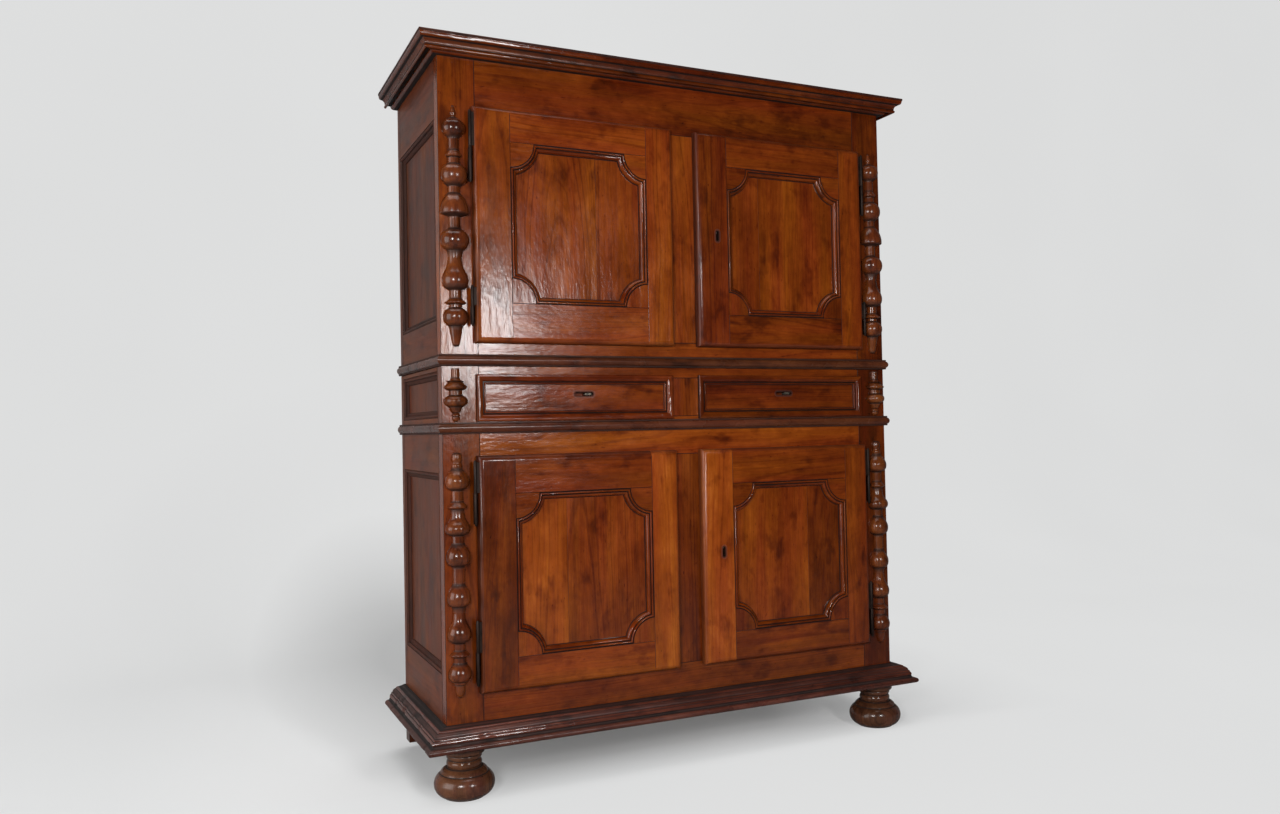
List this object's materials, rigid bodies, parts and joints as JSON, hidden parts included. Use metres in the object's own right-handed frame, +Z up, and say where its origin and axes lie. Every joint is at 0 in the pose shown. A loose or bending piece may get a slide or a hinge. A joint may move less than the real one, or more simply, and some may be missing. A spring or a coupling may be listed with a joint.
{
  "type": "two-part sideboard",
  "caption": "Tall walnut double cupboard with scooped panel doors above and below a drawer band, split turned balusters on the stiles, moulded cornice and base, and bun feet in front.",
  "frame": {"origin": "floor level, in the middle of the bounding box", "axes": "+X to the viewer's right when facing the doors, +Y towards the back, +Z up; the front faces -Y"},
  "size_m": [1.6436, 0.5958, 2.1],
  "materials": {
    "walnut": "polished, orange-brown",
    "dark_walnut": "polished, dark brown",
    "turned_walnut": "polished, mid brown",
    "plain_board": "bare planed board",
    "iron": "dark wrought iron"
  },
  "bodies": {
    "carcass": {"baluster_drawer_left": "turned_walnut", "baluster_drawer_right": "turned_walnut", "baluster_lower_left": "turned_walnut", "baluster_lower_right": "turned_walnut", "baluster_upper_left": "turned_walnut", "baluster_upper_right": "turned_walnut", "base_moulding": "dark_walnut", "cornice": "dark_walnut", "drawer_deck": "plain_board", "foot_front_left": "turned_walnut", "foot_front_right": "turned_walnut", "foot_rear_left": "dark_walnut", "foot_rear_right": "dark_walnut", "hinge_lower_left_high_fixed": "iron", "hinge_lower_left_low_fixed": "iron", "hinge_lower_right_high_fixed": "iron", "hinge_lower_right_low_fixed": "iron", "hinge_upper_left_high_fixed": "iron", "hinge_upper_left_low_fixed": "iron", "hinge_upper_right_high_fixed": "iron", "hinge_upper_right_low_fixed": "iron", "lower_back": "plain_board", "lower_bottom": "plain_board", "lower_face_frame": "walnut", "lower_shelf": "plain_board", "lower_side_left": "walnut", "lower_side_right": "walnut", "lower_top": "dark_walnut", "lower_waist_moulding": "dark_walnut", "upper_back": "plain_board", "upper_bottom": "plain_board", "upper_face_frame": "walnut", "upper_shelf": "plain_board", "upper_side_left": "walnut", "upper_side_right": "walnut", "upper_top": "plain_board"},
    "door_upper_left": {"door_upper_left_frame": "walnut", "door_upper_left_panel": "walnut", "hinge_upper_left_high_door": "iron", "hinge_upper_left_low_door": "iron"},
    "door_upper_right": {"door_upper_right_frame": "walnut", "door_upper_right_panel": "walnut", "hinge_upper_right_high_door": "iron", "hinge_upper_right_low_door": "iron", "lock_upper_door": "iron"},
    "door_lower_left": {"door_lower_left_frame": "walnut", "door_lower_left_panel": "walnut", "hinge_lower_left_high_door": "iron", "hinge_lower_left_low_door": "iron"},
    "door_lower_right": {"door_lower_right_frame": "walnut", "door_lower_right_panel": "walnut", "hinge_lower_right_high_door": "iron", "hinge_lower_right_low_door": "iron", "lock_lower_door": "iron"},
    "drawer_left": {"drawer_left_front": "walnut", "drawer_left_box": "plain_board", "lock_left_drawer": "iron"},
    "drawer_right": {"drawer_right_front": "walnut", "drawer_right_box": "plain_board", "lock_right_drawer": "iron"}
  },
  "joints": [
    {"name": "door_upper_left_hinge", "type": "hinge", "parent": "carcass", "child": "door_upper_left", "pos_m": [-0.67, -0.252, 1.2525], "axis": [0, 0, -1], "range_deg": [0, 110]},
    {"name": "door_upper_right_hinge", "type": "hinge", "parent": "carcass", "child": "door_upper_right", "pos_m": [0.67, -0.252, 1.2525], "axis": [0, 0, 1], "range_deg": [0, 110]},
    {"name": "door_lower_left_hinge", "type": "hinge", "parent": "carcass", "child": "door_lower_left", "pos_m": [-0.67, -0.252, 0.278], "axis": [0, 0, -1], "range_deg": [0, 110]},
    {"name": "door_lower_right_hinge", "type": "hinge", "parent": "carcass", "child": "door_lower_right", "pos_m": [0.67, -0.252, 0.278], "axis": [0, 0, 1], "range_deg": [0, 110]},
    {"name": "drawer_left_slide", "type": "slide", "parent": "carcass", "child": "drawer_left", "axis": [0, -1, 0], "range_m": [0, 0.3]},
    {"name": "drawer_right_slide", "type": "slide", "parent": "carcass", "child": "drawer_right", "axis": [0, -1, 0], "range_m": [0, 0.3]}
  ]
}
